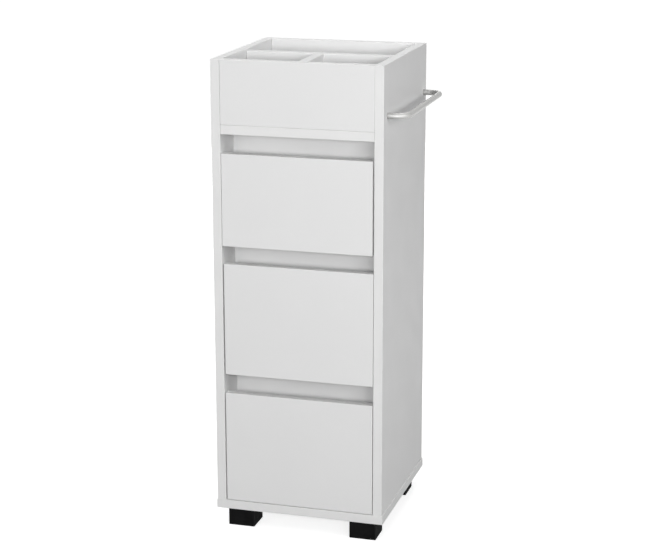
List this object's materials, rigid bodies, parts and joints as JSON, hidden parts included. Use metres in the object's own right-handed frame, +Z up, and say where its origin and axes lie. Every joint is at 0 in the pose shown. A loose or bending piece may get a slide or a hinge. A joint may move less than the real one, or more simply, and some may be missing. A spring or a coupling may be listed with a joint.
{
  "type": "bathroom storage tower",
  "caption": "Slim free-standing bathroom tower: open divided tray on top, drawers with grip gaps on roller runners, block feet, bent towel rail on the right side.",
  "frame": {"origin": "on the floor, under the middle of the tower's outline with the towel rail", "axes": "+Z up, -Y out of the drawer fronts, +X to the right, where the towel rail is"},
  "size_m": [0.3396, 0.3026, 0.828],
  "materials": {
    "white_board": "satin white melamine on chipboard",
    "white_hardboard": "white lacquered hardboard",
    "foot_plastic": "black moulded, fine grain",
    "satin_rail": "satin, brushed along the tube",
    "zinc_steel": "bright zinc plated",
    "zinc_casting": "die cast, dull",
    "dowel_wood": "bare beech, fluted",
    "runner_steel": "white epoxy coating",
    "roller_nylon": "natural nylon"
  },
  "bodies": {
    "cabinet": {"bottom_panel": "white_board", "left_side": "white_board", "right_side": "white_board", "tray_floor": "white_board", "tray_front": "white_board", "tray_back": "white_board", "cross_divider": "white_board", "depth_divider": "white_board", "upper_cross_rail": "white_board", "middle_cross_rail": "white_board", "lower_cross_rail": "white_board", "back_sheet": "white_hardboard", "front_left_foot": "foot_plastic", "front_right_foot": "foot_plastic", "rear_left_foot": "foot_plastic", "rear_right_foot": "foot_plastic", "towel_rail": "satin_rail", "towel_rail_screws": "zinc_steel", "back_nails": "zinc_steel", "dowels": "dowel_wood", "cam_bolts": "zinc_steel", "cam_locks": "zinc_casting", "short_screws": "zinc_steel", "upper_left_cabinet_runner": "runner_steel", "upper_right_cabinet_runner": "runner_steel", "middle_left_cabinet_runner": "runner_steel", "middle_right_cabinet_runner": "runner_steel", "lower_left_cabinet_runner": "runner_steel", "lower_right_cabinet_runner": "runner_steel"},
    "upper_drawer": {"upper_drawer_front": "white_board", "upper_drawer_left": "white_board", "upper_drawer_right": "white_board", "upper_drawer_back": "white_board", "upper_drawer_bottom": "white_hardboard", "upper_drawer_fasteners": "zinc_steel", "upper_left_drawer_runner": "runner_steel", "upper_right_drawer_runner": "runner_steel"},
    "upper_cabinet_rollers": {"upper_cabinet_rollers": "roller_nylon"},
    "upper_drawer_rollers": {"upper_drawer_rollers": "roller_nylon"},
    "middle_drawer": {"middle_drawer_front": "white_board", "middle_drawer_left": "white_board", "middle_drawer_right": "white_board", "middle_drawer_back": "white_board", "middle_drawer_bottom": "white_hardboard", "middle_drawer_fasteners": "zinc_steel", "middle_left_drawer_runner": "runner_steel", "middle_right_drawer_runner": "runner_steel"},
    "middle_cabinet_rollers": {"middle_cabinet_rollers": "roller_nylon"},
    "middle_drawer_rollers": {"middle_drawer_rollers": "roller_nylon"},
    "lower_drawer": {"lower_drawer_front": "white_board", "lower_drawer_left": "white_board", "lower_drawer_right": "white_board", "lower_drawer_back": "white_board", "lower_drawer_bottom": "white_hardboard", "lower_drawer_fasteners": "zinc_steel", "lower_left_drawer_runner": "runner_steel", "lower_right_drawer_runner": "runner_steel"},
    "lower_cabinet_rollers": {"lower_cabinet_rollers": "roller_nylon"},
    "lower_drawer_rollers": {"lower_drawer_rollers": "roller_nylon"}
  },
  "joints": [
    {"name": "upper_drawer_slide", "type": "slide", "parent": "cabinet", "child": "upper_drawer", "axis": [0, -1, 0], "range_m": [0, 0.19]},
    {"name": "upper_cabinet_roller_spin", "type": "hinge", "parent": "cabinet", "child": "upper_cabinet_rollers", "pos_m": [-0.01825, -0.12325, 0.5278], "axis": [1, 0, 0], "range_deg": [0, 1361]},
    {"name": "upper_drawer_roller_spin", "type": "hinge", "parent": "upper_drawer", "child": "upper_drawer_rollers", "pos_m": [-0.01825, 0.10375, 0.5278], "axis": [1, 0, 0], "range_deg": [0, 1361]},
    {"name": "middle_drawer_slide", "type": "slide", "parent": "cabinet", "child": "middle_drawer", "axis": [0, -1, 0], "range_m": [0, 0.19]},
    {"name": "middle_cabinet_roller_spin", "type": "hinge", "parent": "cabinet", "child": "middle_cabinet_rollers", "pos_m": [-0.01825, -0.12325, 0.2988], "axis": [1, 0, 0], "range_deg": [0, 1361]},
    {"name": "middle_drawer_roller_spin", "type": "hinge", "parent": "middle_drawer", "child": "middle_drawer_rollers", "pos_m": [-0.01825, 0.10375, 0.2988], "axis": [1, 0, 0], "range_deg": [0, 1361]},
    {"name": "lower_drawer_slide", "type": "slide", "parent": "cabinet", "child": "lower_drawer", "axis": [0, -1, 0], "range_m": [0, 0.19]},
    {"name": "lower_cabinet_roller_spin", "type": "hinge", "parent": "cabinet", "child": "lower_cabinet_rollers", "pos_m": [-0.01825, -0.12325, 0.0668], "axis": [1, 0, 0], "range_deg": [0, 1361]},
    {"name": "lower_drawer_roller_spin", "type": "hinge", "parent": "lower_drawer", "child": "lower_drawer_rollers", "pos_m": [-0.01825, 0.10375, 0.0668], "axis": [1, 0, 0], "range_deg": [0, 1361]}
  ],
  "couplings": [
    {"joint": "upper_cabinet_roller_spin", "follows": "upper_drawer_slide", "rad_per_m": 125},
    {"joint": "upper_drawer_roller_spin", "follows": "upper_drawer_slide", "rad_per_m": 125},
    {"joint": "middle_cabinet_roller_spin", "follows": "middle_drawer_slide", "rad_per_m": 125},
    {"joint": "middle_drawer_roller_spin", "follows": "middle_drawer_slide", "rad_per_m": 125},
    {"joint": "lower_cabinet_roller_spin", "follows": "lower_drawer_slide", "rad_per_m": 125},
    {"joint": "lower_drawer_roller_spin", "follows": "lower_drawer_slide", "rad_per_m": 125}
  ]
}
